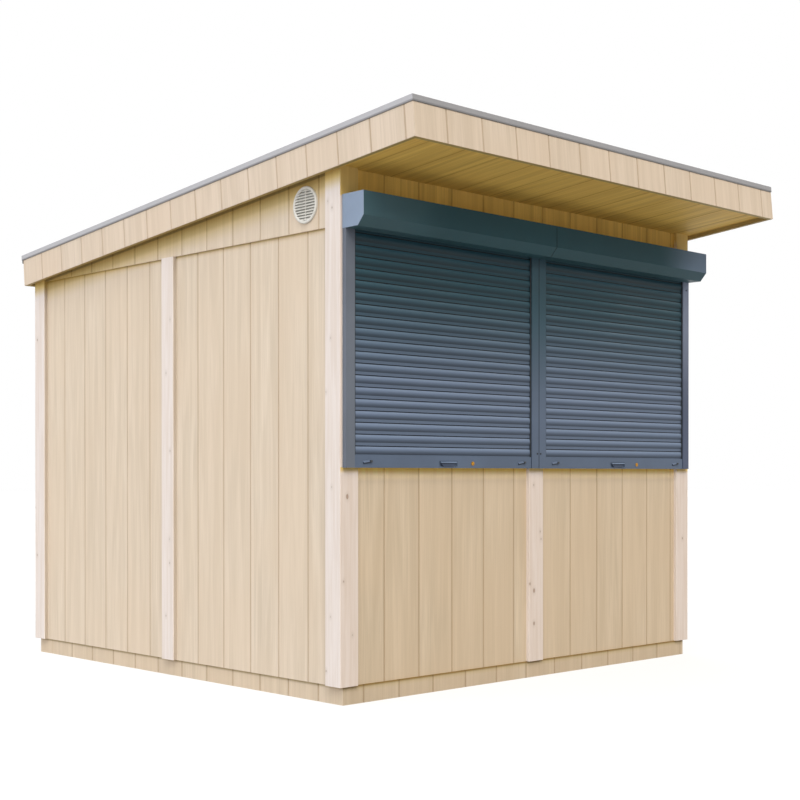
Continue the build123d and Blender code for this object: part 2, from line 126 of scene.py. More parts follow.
# Painted sheen at the ends of the boxes: where a tone starts and is full, its share off the face,
# the tone
BOX_END_SHEEN = ((-0.65, -1.05, 0.5, (2.4, 1.62, 1.55)), (0.75, 1.15, 0.1, (7.0, 3.3, 3.7)))

# How far the figure of the wood jumps from board to board, across and along
BOARD_JUMPS = (3.7, 1.9)
# How far past a level a face still counts as under it
LEVEL_SLACK = 0.002
# Roofing sheet from lap to lap, and the share of it that a lap takes
SHEET_LENGTH, LAP_SHARE = 1.015, 0.012
# A fly screen's width as a share of its vent's, its thickness and its gap to the blades
SCREEN_SHARE, SCREEN_THICKNESS, SCREEN_GAP = 0.83, 0.001, 0.0008
# A bolt's knob against the bolt's width, depth and height, and its place along the bolt
KNOB_SIZE, KNOB_PLACE = (0.26, 1.4, 0.7), 0.4
# How far a lock, a screw and the plug stand off the metal
LOCK_DEPTH, SCREW_DEPTH, PLUG_DEPTH = 0.003, 0.0018, 0.0008
# How far the floor runs from the middle, and how far the camera sees
FLOOR_REACH, FAR_CLIP = 60, 200

# Lights: name, the setting of the strength, where it stands, width in degrees and colour
SUNS = (
    ("front_light", "front_sun", (-0.36, -1.0, 1.036), 40, (1.0, 0.94, 0.8)),
    ("side_light", "side_sun", (-1.0, 0.0, 1.0), 100, (0.93, 0.96, 1.0)),
    ("sheen_light", "sheen", (0.7, -0.45, 0.54), 24, (1.0, 1.0, 1.0)),
    ("back_light", "back_sun", (0.5, 1.0, 0.6), 60, (1.0, 0.97, 0.92)),
)


def amount(name, default, description, **settings):
    """A number that a user may change."""
    return FloatProperty(name=name, default=default, description=description, **settings)


def length(name, default, description):
    """A length that a user may change."""
    return amount(name, default, description, unit="LENGTH", precision=4)


def angle(name, degrees, description):
    """An angle that a user may change."""
    return amount(name, math.radians(degrees), description, unit="ROTATION")


def colour(name, default, description):
    """A colour that a user may change."""
    return FloatVectorProperty(
        name=name, default=default, subtype="COLOR", size=3, min=0, max=1, description=description
    )


class HutBoardSettings(PropertyGroup):
    """Where the boards' grooves run, and how they are spaced"""

    pitch: length("Board Width", 0.2, "Distance from groove to groove")
    groove: length("Groove Width", 0.006, "Width of a groove at the face of the board")
    shade: amount("Groove Shade", 0.38, "How dark the grooves are")
    front_first: length("Front Groove", 0.257, "First from the left corner")
    side_first: length("Side Groove", 0.231, "First from the front corner")
    gable_first: length("Gable Groove", 0.149, "First from the front corner")
    skirting_front_first: length("Front Skirting Groove", 0.137, "First from the left corner")
    skirting_side_first: length("Side Skirting Groove", 0.173, "First from the front corner")
    fascia_front_first: length("Front Fascia Groove", 0.134, "First from the left corner")
    fascia_side_first: length("Side Fascia Groove", 0.05, "First from the roof's front edge")
    soffit_first: length("Soffit Groove", 0.094, "First from the left corner")


class HutColourSettings(PropertyGroup):
    """The finishes of the hut"""

    side_boards: colour("Side Boards", (0.735, 0.622, 0.505), "Grooved boards of sides and back")
    # Painted shade: the front takes a darker, warmer copy of the side boards' colour
    front_boards: colour("Front Boards", (0.65, 0.53, 0.40), "Grooved boards of the front")
    fascia_boards: colour("Fascia Boards", (0.725, 0.605, 0.495), "Grooved boards round the roof")
    # Painted shade: soffit and head boards take a yellower, shade-toned copy of the wood's colour
    soffit_boards: colour("Soffit Boards", (0.86, 0.57, 0.145), "Boards under the roof")
    posts: colour("Posts", (0.808, 0.722, 0.682), "Planed posts")
    # Painted shade: amber tone of wood just under the shutters' bars and under the front eaves
    amber_shade_tone: colour("Amber Shade", (0.99, 0.82, 0.31), "Tint of wood in painted shade")
    # Painted shade: tone of the walls close under the eaves
    painted_shade_tone: colour("Eaves Shade", (0.92, 0.82, 0.4), "Tint of walls close under the eaves")
    # Painted shade: tone of the fascias' backs and undersides
    inner_shade_tone: colour("Inner Shade", (0.68, 0.6, 0.29), "Tint of the fascias' edges and backs")
    timber: colour("Timber", (0.60, 0.46, 0.28), "Floor, bearers and roof deck")
    shutter: colour("Shutters", (0.105, 0.139, 0.208), "Painted metal of the shutters")
    # Painted shade: tone of the paint close under the eaves
    paint_shade_tone: colour("Paint Shade", (0.29, 0.54, 0.49), "Tint of paint close under the eaves")
    # Painted shade: tone of the slats close under the eaves
    slat_shade_tone: colour("Slat Shade", (0.15, 0.36, 0.33), "Tint of slats close under the eaves")
    # Painted light: the end plates take a paler copy of the shutter paint
    end_plate: colour("End Plates", (0.262, 0.33, 0.448), "Painted plates at the boxes' ends")
    trim: colour("Edge Trim", (0.275, 0.27, 0.285), "Folded sheet round the roof")
    covering: colour("Roof Covering", (0.06, 0.06, 0.065), "Sheet on top of the roof")
    vent: colour("Vent", (0.735, 0.71, 0.66), "Moulded vents in the gables")
    screen: colour("Fly Screens", (0.38, 0.37, 0.34), "Fine mesh behind the vents")
    fittings: colour("Fittings", (0.02, 0.024, 0.03), "Dark moulded bolts and brushes")
    bolt: colour("Slide Bolts", (0.07, 0.092, 0.14), "Painted slide bolts")
    grip: colour("Grips", (0.05, 0.067, 0.11), "Trays of the finger grips")
    brass: colour("Lock", (0.52, 0.25, 0.03), "Brass lock cylinders")


class HutFittingSettings(PropertyGroup):
    """Sizes of the fittings on the shutters"""

    bolt_width: length("Bolt Width", 0.044, "Length of a slide bolt")
    bolt_height: length("Bolt Height", 0.013, "Height of a slide bolt")
    bolt_tilt: angle("Bolt Tilt", 8, "How far a bolt rises to the right")
    bolt_depth: length("Bolt Depth", 0.007, "How far a slide bolt stands off the bar")
    bolt_from_middle: length("Bolt Place", 0.47, "Middle of a bolt from the shutter's middle")
    bolt_rise: length("Bolt Rise", 0.0245, "Middle of a bolt above the foot of the bar")
    lock_radius: length("Lock Radius", 0.0088, "Radius of the lock's cylinder")
    lock_from_middle: length("Lock Place", 0.151, "Middle of the lock from the shutter's middle")
    lock_rise: length("Lock Rise", 0.02, "Middle of the lock above the foot of the bar")
    grip_width: length("Grip Width", 0.095, "Width of the tray along its top")
    grip_foot: length("Grip Foot", 0.064, "Width of the tray along its foot")
    grip_height: length("Grip Height", 0.0165, "Height of the tray")
    grip_depth: length("Grip Depth", 0.003, "How far the tray stands off the bar")
    grip_lip: length("Grip Lip", 0.003, "Width of the tray's lip")
    grip_rise: length("Grip Rise", 0.0147, "Middle of the grip above the foot of the bar")
    screw_radius: length("Screw Radius", 0.0042, "Radius of a screw's head")
    screw_inset: length("Screw Inset", 0.011, "Screw from the outer edge of its guide rail")
    screw_rise: length("Screw Rise", 0.068, "Screw above the foot of its guide rail")
    brush_width: length("Brush Width", 0.0065, "Width of the brush beside a guide rail")
    brush_depth: length("Brush Depth", 0.005, "Depth of the brush from front to back")
    joint_depth: length("Joint Depth", 0.0042, "Joints between slats from the curtain's face")
    cap_thickness: length("End Cap", 0.0015, "Thickness of a box's end plate")
    cap_setback: length("End Cap Setback", 0.038, "End plate from the back of its box")


class HutStudioSettings(PropertyGroup):
    """Camera and lights"""

    lens: amount("Lens", 63.3, "Focal length", unit="CAMERA")
    camera_place: FloatVectorProperty(
        name="Camera", default=(-4.892, -5.640, 0.950), size=3, unit="LENGTH",
        description="Place of the camera",
    )
    camera_heading: angle("Heading", 45.05, "Turn from +Y towards +X")
    camera_pitch: angle("Pitch", -0.268, "Tilt above the horizon")
    shift_x: amount("Shift X", -0.0759, "Lens shift across")
    shift_y: amount("Shift Y", 0.0999, "Lens shift up")
    front_sun: amount("Front Light", 1.95, "Strength of the high light in front")
    side_sun: amount("Side Light", 2.55, "Strength of the light on the left")
    sheen: amount("Sheen", 0.35, "Strength of the light that glances off the slats")
    back_sun: amount("Back Light", 1.3, "Strength of the light from behind")
    sky: amount("Sky", 0.2, "Strength of the surrounding light")
    bounce: amount("Floor Bounce", 0.36, "Share of light that the floor returns")
    paper: amount("Paper", 0.7, "Share of plain white in the seen floor")


# Materials


class Nodes:
    """A node tree, built up node by node."""

    def __init__(self, tree):
        self.tree = tree

    def node(self, kind, **settings):
        """A new node with its settings."""
        made = self.tree.nodes.new(kind)
        for key, value in settings.items():
            setattr(made, key, value)
        return made

    def join(self, output, socket):
        """Links an output to an input, or writes a plain value there."""
        if isinstance(output, bpy.types.NodeSocket):
            self.tree.links.new(output, socket)
        else:
            socket.default_value = output

    def fill(self, made, **inputs):
        """Sets inputs of a node, by their names in small letters with underscores."""
        for key, value in inputs.items():
            self.join(value, made.inputs[key.replace("_", " ").title()])

    def pair(self, kind, operation, first, second, output=0):
        """The result of a node that works on two inputs."""
        made = self.node(kind, operation=operation)
        self.join(first, made.inputs[0])
        self.join(second, made.inputs[1])
        return made.outputs[output]

    def math(self, operation, first, second=0.0):
        """One sum on two values."""
        return self.pair("ShaderNodeMath", operation, first, second)

    def either(self, first, second):
        """A mask that shows where one of two masks does."""
        return self.math("MAXIMUM", first, second)

    def times(self, first, second):
        """Two values multiplied. With masks it shows where both of them do."""
        return self.math("MULTIPLY", first, second)

    def seen(self):
        """1 for what is looked at, straight, in a gloss or through glass, and 0 for other light."""
        rays = self.node("ShaderNodeLightPath").outputs
        seen = self.either(rays["Is Camera Ray"], rays["Is Transmission Ray"])
        return self.either(seen, rays["Is Glossy Ray"])


class Shader(Nodes):
    """A material and its node tree."""

    def __init__(self, name):
        self.material = bpy.data.materials.new(name)
        self.material.use_nodes = True
        super().__init__(self.material.node_tree)
        self.surface = self.tree.nodes["Principled BSDF"]
        coordinates = self.node("ShaderNodeTexCoord").outputs
        self.place, self.outlook = coordinates["Object"], coordinates["Normal"]
        self.colour = self.rough = None

    def dot(self, first, second):
        """How far one vector goes along another."""
        return self.pair("ShaderNodeVectorMath", "DOT_PRODUCT", first, second, "Value")

    def along(self, direction):
        """Distance along a direction from the origin."""
        return self.dot(self.place, direction)

    def facing(self, direction):
        """How far a face looks in a direction, from -1 to 1."""
        return self.dot(self.outlook, direction)

    def facing_out(self, hand=1):
        """1 on faces that look away from the middle of the hut, or towards it with a hand of -1."""
        outwards = self.dot(self.place, self.outlook)
        return self.spread(self.times(outwards, hand), 0.0, 0.2)

    def near_soffit(self, reach, full=0.25):
        """1 near the soffit, fading to 0 at a distance below it."""
        return self.spread(self.along(slope_up), soffit_level - reach, soffit_level - reach * full)

    def under(self, level, reach, full=0.1):
        """1 just below a level, fading to 0 at a distance under it."""
        height = self.along(UP)
        below = self.math("LESS_THAN", height, level + LEVEL_SLACK)
        return self.times(below, self.spread(height, level - reach, level - reach * full))

    def combine(self, x, y, z):
        """A vector from three values."""
        made = self.node("ShaderNodeCombineXYZ")
        for socket, value in zip(made.inputs, (x, y, z)):
            self.join(value, socket)
        return made.outputs[0]

    def noise(self, vector, scale, detail=3.0, rough=0.5, distortion=0.0):
        """Noise from 0 to 1."""
        made = self.node("ShaderNodeTexNoise")
        self.fill(
            made, vector=vector, scale=scale, detail=detail, roughness=rough, distortion=distortion
        )
        return made.outputs["Fac"]

    def ring(self, spot, center, radius):
        """Distance outside a knot's edge."""
        apart = self.pair("ShaderNodeVectorMath", "DISTANCE", spot, center, "Value")
        return self.math("SUBTRACT", apart, radius)

    def spread(self, value, low, high, new_low=0.0, new_high=1.0):
        """A value moved from one range to another."""
        made = self.node("ShaderNodeMapRange", interpolation_type="SMOOTHSTEP")
        self.fill(made, value=value, from_min=low, from_max=high, to_min=new_low, to_max=new_high)
        return made.outputs["Result"]

    def mix(self, share, first, second, blend="MIX"):
        """Two colours mixed."""
        made = self.node("ShaderNodeMix", data_type="RGBA", blend_type=blend)
        self.join(share, made.inputs[0])
        for socket, value in ((made.inputs[6], first), (made.inputs[7], second)):
            self.join(value if isinstance(value, bpy.types.NodeSocket) else (*value, 1), socket)
        return made.outputs[2]

    def lay(self, share, colour):
        """Lays a colour over what is there, as far as a mask says."""
        self.colour = self.mix(share, self.colour, colour)

    def tone(self, share, tone):
        """Lays a tone over what is there, as far as a mask says."""
        self.lay(share, self.mix(1.0, self.colour, tone, "MULTIPLY"))

    def bump(self, height, strength, distance):
        """Fine relief on the surface."""
        made = self.node("ShaderNodeBump")
        self.fill(made, strength=strength, distance=distance, height=height)
        self.fill(self.surface, normal=made.outputs["Normal"])

    def finish(self, specular=0.5, metallic=0.0):
        """Joins the colour and roughness to the surface."""
        self.fill(self.surface, base_color=self.colour, roughness=self.rough, metallic=metallic)
        self.surface.inputs["Specular IOR Level"].default_value = specular
        return self.material


def tint(base, factor):
    """A colour made lighter or darker."""
    return tuple(min(1.0, part * factor) for part in base)


def shift(parts, factors):
    """Values, such as a colour's red, green and blue, each times a factor of its own."""
    return tuple(part * factor for part, factor in zip(parts, factors))


def board_material(name, base, across, grain, first, boards, hand=1, lively=1.0):
    """Veneered board: soft grain, its own tone from board to board, and shade in the grooves."""
    shader = Shader(name)
    span = shader.along(across)
    steps = shader.math("DIVIDE", shader.math("SUBTRACT", span, first), boards.pitch)
    board = shader.math("FLOOR", steps)
    depth = shader.along(Vector(across).cross(Vector(grain)))
    jumps = [shader.times(board, jump) for jump in BOARD_JUMPS]
    sideways = shader.math("ADD", span, jumps[0])
    upwards = shader.math("ADD", shader.along(grain), jumps[1])

    def streaks(width, run, detail, distortion=0.0):
        """Noise drawn out along the grain."""
        vector = shader.combine(
            shader.times(sideways, width), shader.times(depth, width),
            shader.times(upwards, run),
        )
        return shader.noise(vector, 1.0, detail, 0.58, distortion)

    fine = streaks(230, 4, 4)
    figure = streaks(24, 1.1, 3, 0.7)
    patch = shader.noise(shader.combine(sideways, depth, upwards), 1.7, 2)
    own = shader.node("ShaderNodeTexWhiteNoise", noise_dimensions="1D")
    shader.fill(own, w=board)
    dark = shift(base, (1 - share * lively for share in GRAIN_DEPTH))
    light = tint(base, 1 + 0.09 * lively)
    shader.colour = shader.mix(shader.spread(figure, 0.3, 0.7), dark, light)
    shader.lay(shader.spread(fine, 0.35, 0.75, 0.0, 0.5), tint(dark, 0.87))
    warm = shift(base, WARM_TONE)
    shader.lay(shader.spread(patch, 0.35, 0.7, 0.0, 0.5), warm)
    shader.lay(shader.spread(own.outputs["Value"], 0.0, 1.0, 0.0, 0.3), tint(warm, 0.97))
    share = shader.math("FRACT", steps)
    edge = shader.math("MINIMUM", share, shader.math("SUBTRACT", 1.0, share))
    half = boards.groove / boards.pitch / 2
    groove = shader.spread(edge, half * 0.9, half * 2.2, boards.shade, 0.0)
    shader.lay(shader.times(groove, shader.facing_out(hand)), shift(dark, GROOVE_TONE))
    shader.bump(shader.math("ADD", fine, shader.times(figure, 0.5)), 0.15, 0.0005)
    shader.rough = shader.spread(fine, 0.3, 0.7, 0.52, 0.66)
    return shader


def finish_wood(shader, painted_shade=None, tone=None):
    """Finishes a wood material, with a tone of painted shade laid over it where a mask says."""
    if painted_shade is not None:
        shader.tone(painted_shade, tone)
    return shader.finish(specular=0.3)


def post_material(name, base, tone):
    """Planed softwood with straight grain and a few small knots, with painted shade on its front
    and under the eaves.
    """
    shader = Shader(name)

    def stretched(width, run):
        """Coordinates drawn out along the post."""
        made = shader.node("ShaderNodeMapping")
        shader.fill(made, vector=shader.place, scale=(width, width, run))
        return made.outputs[0]

    rings = shader.noise(stretched(60, 2.2), 1.0, 3, 0.55, 0.4)
    fine = shader.noise(stretched(420, 9), 1.0, 3, 0.6)
    wide = shader.math("ABSOLUTE", shader.along(ACROSS))
    deep = shader.math("ABSOLUTE", shader.along(BACK))
    height = shader.along((0, 0, KNOT_SQUASH))
    from_front = shader.combine(shader.along(ACROSS), deep, height)
    from_side = shader.combine(wide, shader.along(BACK), height)
    knots = [(from_front, (x, -front_edge, z * KNOT_SQUASH), size) for x, z, size in FRONT_KNOTS]
    knots += [(from_side, (-left_edge, y, z * KNOT_SQUASH), size) for y, z, size in SIDE_KNOTS]
    rim = 1.0
    for spot, center, radius in knots:
        rim = shader.math("MINIMUM", rim, shader.ring(spot, center, radius))
    core = shader.spread(rim, -0.002, 0.001, 0.75, 0.0)
    halo = shader.spread(rim, -0.001, 0.013, 0.4, 0.0)
    dark = shift(base, POST_GRAIN_TONE)
    shader.colour = shader.mix(shader.spread(rings, 0.35, 0.7), tint(base, 1.03), dark)
    shader.lay(shader.spread(fine, 0.4, 0.8, 0.0, 0.3), tint(dark, 0.9))
    shader.lay(halo, tint(dark, 0.8))
    shader.lay(core, shift(base, KNOT_TONE))
    # Painted shade: the front faces a little darker, the faces in the recess darker still
    front_face = shader.spread(shader.along(FRONT), -front_edge - 0.002, -front_edge - 0.0005)
    shader.tone(front_face, POST_FRONT_SHADE)
    forward = shader.spread(shader.facing(FRONT), 0.7, 0.95)
    recess = shader.times(forward, shader.math("SUBTRACT", 1.0, front_face))
    shader.tone(recess, POST_RECESS_SHADE)
    # Painted amber shade above the boxes, just under the bars on the front faces and under the
    # soffit
    above_box = shader.spread(shader.along(UP), box_top - 0.01, box_top)
    painted_shade = shader.either(above_box, shader.under(counter, 0.026))
    painted_shade = shader.either(shader.near_soffit(0.1), shader.times(front_face, painted_shade))
    shader.bump(shader.math("ADD", fine, rings), 0.15, 0.0005)
    shader.rough = shader.spread(fine, 0.3, 0.7, 0.52, 0.68)
    return finish_wood(shader, painted_shade, tone)


def clouded(name, base, cloud, tones, grit, relief, rough, low=0.3):
    """A smooth finish with soft clouds in its colour and gloss, and a fine texture."""
    shader = Shader(name)
    cloud = shader.noise(shader.place, *cloud)
    dark, light = (tint(base, tone) for tone in tones)
    shader.colour = shader.mix(shader.spread(cloud, low, 0.7), dark, light)
    shader.bump(shader.noise(shader.place, grit, 2), *relief)
    shader.rough = shader.spread(cloud, 0.3, 0.7, *rough)
    return shader


def paint_material(name, base, deep=None, top_lit=False, joints=None, reach=1.0, boxed=False):
    """Coated metal, with painted shade towards the eaves, along the boxes' seam and in its joints,
    painted light on faces that tilt up, and on the boxes painted shade and a sheen at their ends."""
    grit, rough = (0.06, 0.0002), (0.35, 0.45)
    shader = clouded(name, base, (2.2, 4, 0.6), (0.94, 1.08), 900, grit, rough, low=0.35)
    # Painted light and shade: the colour halved, then paler where a face looks up
    if top_lit:
        light = shader.spread(shader.facing(UP), -0.35, 0.35)
        shader.colour = shader.mix(1.0, shader.colour, (0.5,) * 3, "MULTIPLY")
        shader.lay(light, tint(base, 1.65))
    # Painted shade in the gaps between slats
    if joints is not None:
        inner = shader.spread(shader.along(BACK), joints, joints + 0.0008)
        inner = shader.times(inner, shader.spread(shader.facing(BACK), -0.1, 0.3, 1.0, 0.0))
        shader.lay(inner, tint(base, 0.12))
    # Painted shade along the seam where the boxes meet, and towards the eaves
    if deep is not None:
        seam = shader.math("ABSOLUTE", shader.math("SUBTRACT", shader.along(ACROSS), meeting))
        shader.lay(shader.spread(seam, 0.0016, 0.0034, 0.75, 0.0), tint(base, 0.15))
        shader.tone(shader.near_soffit(reach, 0.42), deep)
    # Painted shade and light on the boxes' faces and slants, and a painted sheen towards their ends
    if boxed:
        across, front = shader.along(ACROSS), shader.facing(FRONT)
        face = shader.spread(front, 0.8, 0.95)
        shader.tone(1.0, shader.mix(face, BOX_SLANT_LIGHT, BOX_FACE_SHADE))
        for start, full, low, tone in BOX_END_SHEEN:
            face = shader.spread(front, 0.8, 0.95, low, 1.0)
            shader.tone(shader.times(shader.spread(across, start, full), face), tone)
    return shader.finish(specular=0.1 if boxed else 0.2)


def sheet_material(name, base):
    """Folded grey sheet with a soft sheen, painted light along the sides and a painted shadow at
    its foot.
    """
    shader = clouded(name, base, (3, 4, 0.6), (0.95, 1.06), 700, (0.05, 0.0002), (0.36, 0.5))
    # Painted light on the faces that look to the sides
    side = shader.spread(shader.math("ABSOLUTE", shader.facing(ACROSS)), 0.5, 0.9)
    shader.lay(side, tint(base, 1.7))
    # Painted shadow along the foot of the trim
    foot = shader.spread(shader.along(slope_up), fascia_top + 0.004, fascia_top + 0.009, 0.6, 0.0)
    shader.lay(foot, tint(base, 0.3))
    return shader.finish()


def covering_material(name, base):
    """Mineral roofing sheet with granules and lapped seams across the slope."""
    shader = Shader(name)
    cloud = shader.noise(shader.place, 1.6, 4, 0.6)
    grains = shader.noise(shader.place, 420, 2, 0.7)
    down = shader.math("SUBTRACT", shader.along(slope_down), roof_edge)
    steps = shader.math("DIVIDE", down, SHEET_LENGTH)
    lap = shader.spread(shader.math("FRACT", steps), 0.0, LAP_SHARE)
    shader.colour = shader.mix(shader.spread(grains, 0.3, 0.75), tint(base, 0.65), tint(base, 1.7))
    shader.lay(shader.spread(cloud, 0.35, 0.75, 0.0, 0.5), tint(base, 1.35))
    shader.lay(shader.spread(lap, 0.0, 1.0, 0.55, 0.0), tint(base, 0.4))
    shader.bump(shader.math("ADD", grains, shader.times(lap, 3.0)), 0.5, 0.0012)
    shader.rough = 0.86
    return shader.finish(specular=0.25)


def moulded_material(name, base, roughness=0.4):
    """Moulded plastic with a fine texture."""
    rough = (roughness, roughness + 0.12)
    return clouded(name, base, (30, 3), (0.94, 1.04), 1500, (0.08, 0.0002), rough).finish()


def brass_material(name, base):
    """Turned brass with faint rings and wear."""
    shader = clouded(name, base, (220, 3), (0.8, 1.15), 1800, (0.1, 0.0001), (0.24, 0.4))
    return shader.finish(metallic=1.0)


def dress(names, material):
    """Gives a material to CAD nodes."""
    for name in names:
        for slot in nodes[name].material_slots:
            slot.material = material


def matching(*starts):
    """Names of the CAD nodes that begin with these words."""
    return [name for name in nodes if name.startswith(starts)]


# Shapes


def add_object(name, data):
    """A new object in the scene."""
    made = bpy.data.objects.new(name, data)
    bpy.context.scene.collection.objects.link(made)
    return made


def add_piece(name, mesh, material):
    """Turns a bmesh into a finished piece that rides on the hut."""
    bmesh.ops.recalc_face_normals(mesh, faces=mesh.faces)
    data = bpy.data.meshes.new(name)
    mesh.to_mesh(data)
    mesh.free()
    data.materials.append(material)
    piece = add_object(name, data)
    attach(piece, "root")


def extrude_outline(mesh, points, travel):
    """Draws a flat outline out into a solid. Gives its near and far corners and its far face."""
    corners = [mesh.verts.new(point) for point in points]
    grown = bmesh.ops.extrude_face_region(mesh, geom=[mesh.faces.new(corners)])["geom"]
    moved = [part for part in grown if isinstance(part, bmesh.types.BMVert)]
    bmesh.ops.translate(mesh, vec=travel, verts=moved)
    return corners, moved, next(part for part in grown if isinstance(part, bmesh.types.BMFace))


def edges_of(corners):
    """The edges at some corners, each of them once."""
    return list(dict.fromkeys(line for vert in corners for line in vert.link_edges))


def edges_between(corners):
    """The edges that run between some corners."""
    return [line for line in edges_of(corners) if all(end in corners for end in line.verts)]


def soften(mesh, edges, size):
    """Rounds edges."""
    bmesh.ops.bevel(
        mesh, geom=edges, offset=size, offset_type="OFFSET", segments=2, profile=0.5,
        affect="EDGES", material=-1, clamp_overlap=True,
    )


def add_block(mesh, center, size, edge=0.0):
    """A block with softened edges."""
    made = bmesh.ops.create_cube(mesh, size=1.0)["verts"]
    bmesh.ops.scale(mesh, vec=size, verts=made)
    bmesh.ops.translate(mesh, vec=center, verts=made)
    if edge:
        soften(mesh, edges_of(made), edge)


def add_disc(mesh, center, radius, depth, segments, edge=0.0, turned="X"):
    """A short cylinder that runs from front to back, or from side to side turned on Y."""
    turn = Matrix.Translation(center) @ Matrix.Rotation(math.radians(90), 4, turned)
    made = bmesh.ops.create_cone(
        mesh, cap_ends=True, segments=segments, radius1=radius, radius2=radius, depth=depth,
        matrix=turn,
    )["verts"]
    if edge:
        low = min(vert.co.y for vert in made)
        rim = [vert for vert in made if abs(vert.co.y - low) < depth / 10]
        soften(mesh, edges_between(rim), edge)


class HUT_OT_boards(Operator):
    """Gives the grooved boards, posts and hidden timber their wood"""

    bl_idname = "market_hut.boards"
    bl_label = "Boards and Posts"

    def execute(self, context):
        boards, colours = context.scene.hut_boards, context.scene.hut_colours
        sides, front_shaded_wood = colours.side_boards, colours.front_boards
        shade_toned_wood, timber = colours.soffit_boards, colours.timber
        amber_shade = colours.amber_shade_tone
        front_first = left_edge + boards.front_first
        soffit_first = left_edge + boards.soffit_first

        self.skirting(boards, sides, front_shaded_wood)
        # Painted shade: head and soffit boards use the shade-toned wood colour
        head = board_material("head_boards", shade_toned_wood, ACROSS, UP, front_first, boards, lively=2.0)
        dress(matching("head_panel"), finish_wood(head))
        self.front(boards, front_shaded_wood, front_first, amber_shade)
        self.walls(boards, sides, front_first, colours.painted_shade_tone)
        self.fascias(boards, colours.fascia_boards, colours.inner_shade_tone)
        for name, base, sideways, grain, first, start, figure in (
            ("soffit_boards", shade_toned_wood, ACROSS, slope_down, soffit_first, "roof_soffit", (-1, 2.2)),
            ("floor_timber", timber, BACK, ACROSS, 0.0, "floor", ()),
            ("roof_timber", timber, slope_down, ACROSS, 0.0, "roof_deck", ()),
        ):
            wood = board_material(name, base, sideways, grain, first, boards, *figure)
            dress(matching(start), finish_wood(wood))
        posts = post_material("planed_posts", colours.posts, amber_shade)
        dress(matching("corner_post", "middle_post"), posts)
        return {"FINISHED"}

    def skirting(self, boards, sides, front_shaded_wood):
        """Boards along the foot, shaded just below their top."""
        # Painted shade: the front skirting a little darker than the front boards
        side, front = shift(sides, SKIRTING_SIDE_TONE), tint(front_shaded_wood, 0.94)
        side_first = front_edge + boards.skirting_side_first
        front_first = left_edge + boards.skirting_front_first
        for name, base, sideways, first, shades, ends in (
            ("side", side, BACK, side_first, SKIRTING_SIDE_SHADE, SIDES),
            ("front", front, ACROSS, front_first, SKIRTING_FRONT_SHADE, ("front", "back")),
        ):
            shader = board_material(f"skirting_{name}_boards", base, sideways, UP, first, boards)
            for reach, tone in shades:
                shader.tone(shader.under(skirting_top, reach), tone)
            dress([f"skirting_{end}" for end in ends], finish_wood(shader))

    def front(self, boards, base, first, amber_shade):
        """Boards of the front, with painted light and amber painted shade just under the shutters.
        """
        shader = board_material("front_boards", base, ACROSS, UP, first, boards)
        # Painted light: paler wood just under the bars, lifting their shadow
        shader.tone(shader.under(counter, 0.06, 0.3), UNDER_BAR_LIGHT)
        # Painted amber shade right under the bars
        dress(matching("front_panel"), finish_wood(shader, shader.under(counter, 0.032), amber_shade))

    def walls(self, boards, base, front_first, painted_shade):
        """Boards of the sides and the back, shaded under the gables and the eaves."""
        side_first, gable_first = front_edge + boards.side_first, front_edge + boards.gable_first
        for name, sideways, first, start, shades in (
            ("side_boards", BACK, side_first, "side_panel", UNDER_GABLE_SHADE),
            ("gable_boards", BACK, gable_first, "gable", ()),
            ("back_boards", ACROSS, front_first, "back_panel", ()),
        ):
            shader = board_material(name, base, sideways, UP, first, boards)
            for reach, tone in shades:
                shader.tone(shader.under(panel_top, reach), tone)
            for reach, full, tone in EAVES_SHADE:
                shader.tone(shader.near_soffit(reach, full), tone)
            # Painted shade in a tone close under the eaves
            dress(matching(start), finish_wood(shader, shader.near_soffit(0.14, 0.15), painted_shade))

    def fascias(self, boards, base, inner):
        """Boards round the roof, with painted shade along their edges and on their backs."""
        # Painted shade: the front fascia a little darker than the sides
        front, front_first = tint(base, 0.93), left_edge + boards.fascia_front_first
        side_first = roof_edge + boards.fascia_side_first
        for name, outer, sideways, first, foot_shade, ends in (
            ("front", front, ACROSS, front_first, 0.0, ("front", "back")),
            ("side", base, slope_down, side_first, 0.25, SIDES),
        ):
            name = f"fascia_{name}_boards"
            shader = board_material(name, outer, sideways, slope_up, first, boards)
            height = shader.along(slope_up)
            # Painted shade along the top edge under the trim, and along the foot of the side
            # fascias
            edge = shader.spread(height, fascia_top - 0.004, fascia_top - 0.001, 0.0, 0.6)
            foot = shader.spread(height, fascia_foot + 0.0005, fascia_foot + 0.004, foot_shade, 0.0)
            shader.lay(shader.either(edge, foot), tint(base, 0.25))
            # Painted shade on the faces that look towards the middle: the backs and undersides
            material = finish_wood(shader, shader.facing_out(-1), inner)
            dress([f"fascia_{end}" for end in ends], material)


